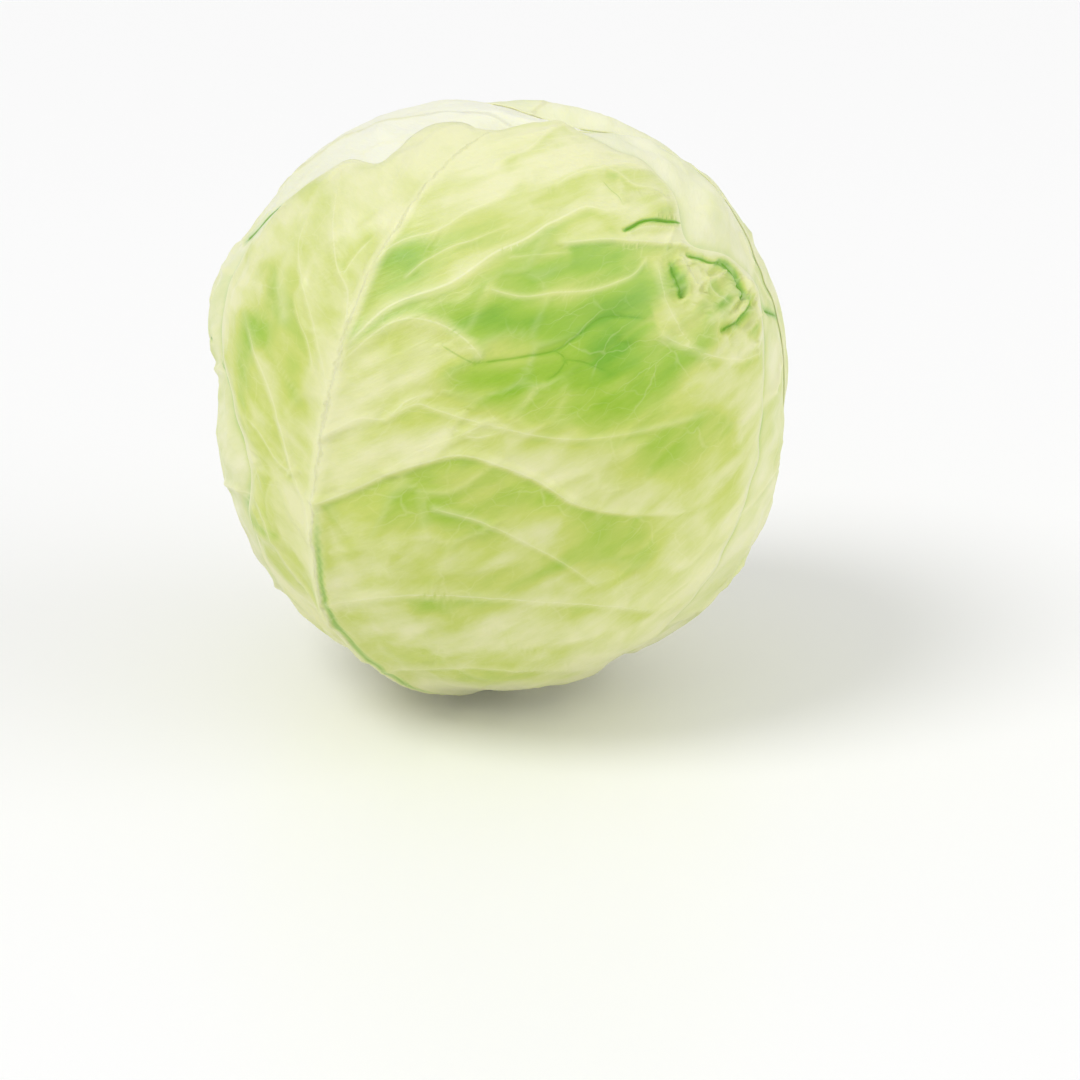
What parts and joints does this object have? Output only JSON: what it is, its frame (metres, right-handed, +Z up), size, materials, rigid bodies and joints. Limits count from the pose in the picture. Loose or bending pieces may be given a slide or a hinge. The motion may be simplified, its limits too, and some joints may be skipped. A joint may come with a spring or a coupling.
{
  "type": "white cabbage head",
  "caption": "Whole white cabbage head of tightly wrapped, ribbed outer leaves round a packed heart, standing on the cut face of its stem.",
  "frame": {"origin": "centre of the cut face under the stem, where the head stands", "axes": "+Z up along the stem through the head, -Y towards the front outer leaf, +X to its right"},
  "size_m": [0.1812, 0.1834, 0.1862],
  "materials": {
    "outer_leaf": "waxy satin, slightly translucent",
    "heart_leaf": "waxy satin, translucent",
    "stem": "matt cut pith"
  },
  "bodies": {
    "root": {"outer_leaf_1": "outer_leaf", "outer_leaf_2": "outer_leaf", "outer_leaf_3": "outer_leaf", "outer_leaf_4": "outer_leaf", "outer_leaf_5": "outer_leaf", "outer_leaf_6": "outer_leaf", "outer_leaf_7": "outer_leaf", "heart_leaves": "heart_leaf", "stem": "stem"}
  },
  "joints": []
}
